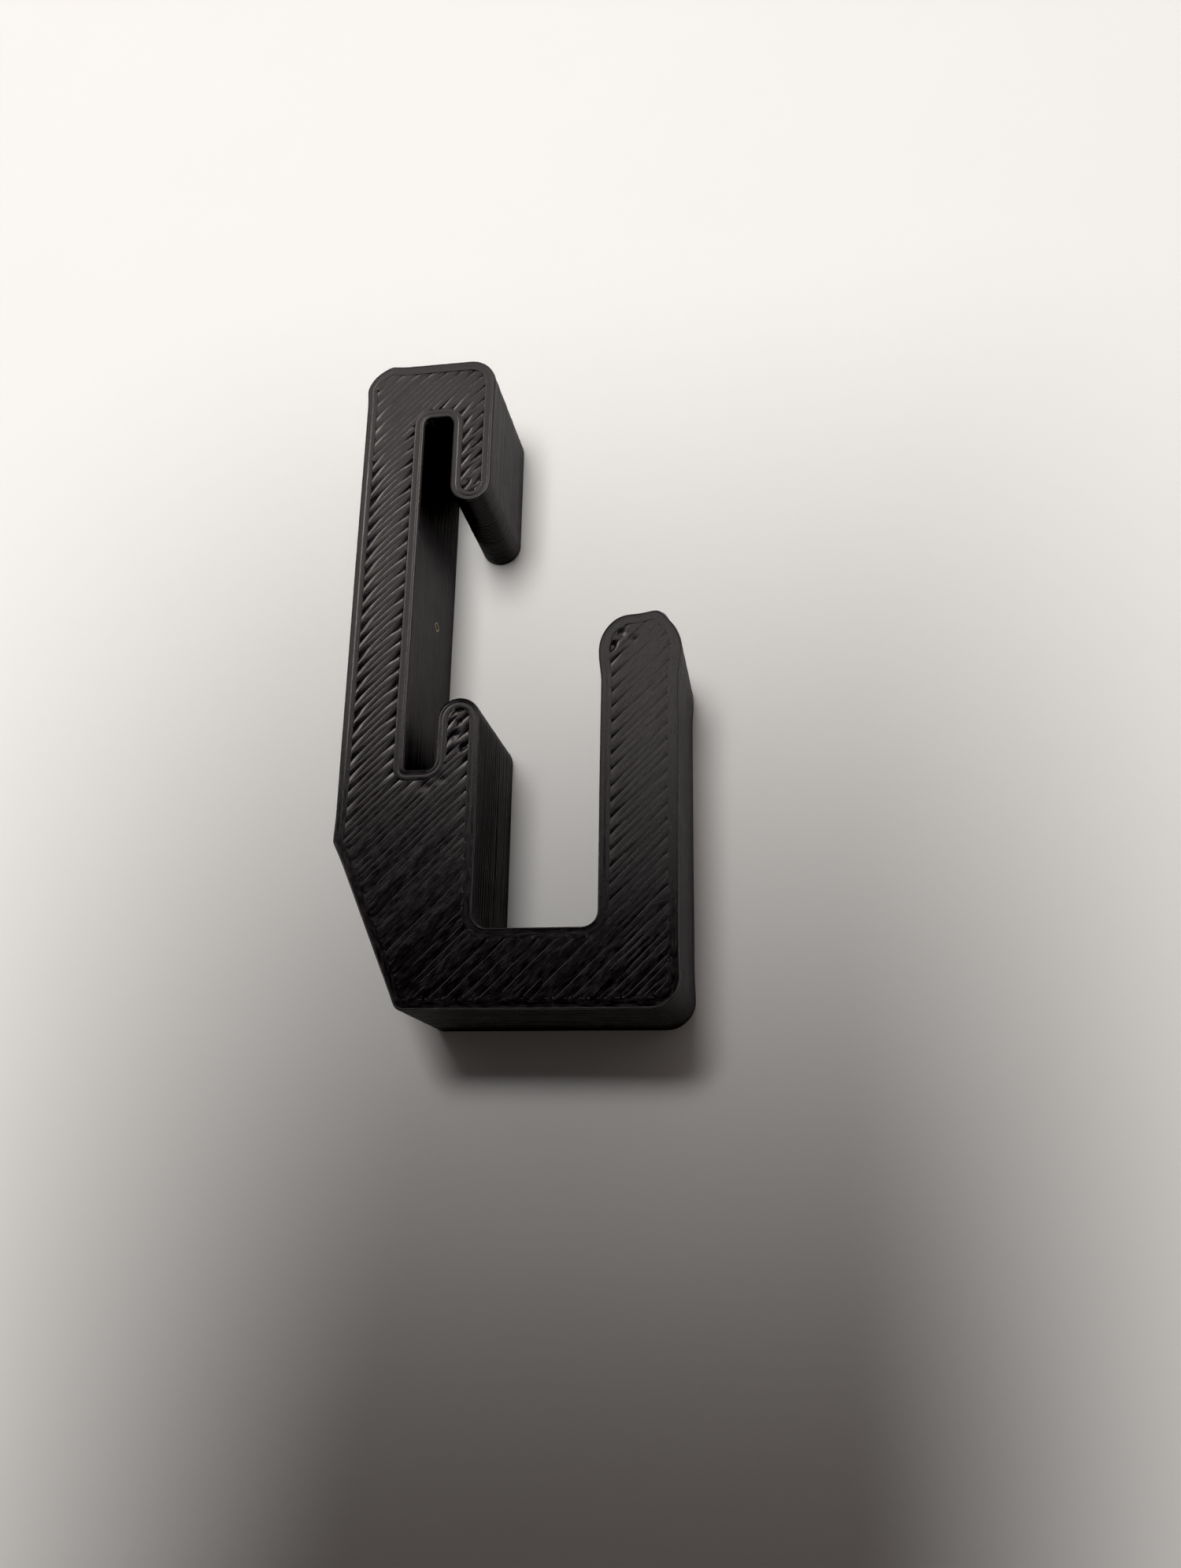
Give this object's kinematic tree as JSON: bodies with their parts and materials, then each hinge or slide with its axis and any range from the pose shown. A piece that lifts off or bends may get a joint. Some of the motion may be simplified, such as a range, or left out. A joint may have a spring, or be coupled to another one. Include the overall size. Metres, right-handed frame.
{
  "type": "headphone hook",
  "caption": "One-piece printed hook: a narrow slot behind two jaws grips a flat strip or panel edge, and a square cradle with a raised arm beside it holds a headband.",
  "frame": {"origin": "middle of the underside of the bounding box, with the hook lying on the side that was printed first", "axes": "+Z is the width of the print, from the side it lies on to the upper side. +Y is up when the hook hangs in use, from the cradle's floor to the bridge over the slot. +X runs from the spine's outer face towards the cradle's arm."},
  "size_m": [0.0264, 0.054, 0.0114],
  "materials": {
    "black_pla": "semi-gloss black PLA as it leaves the printer, with fine layer lines and a zig-zag top skin"
  },
  "bodies": {
    "root": {"hook_body": "black_pla"}
  },
  "joints": []
}
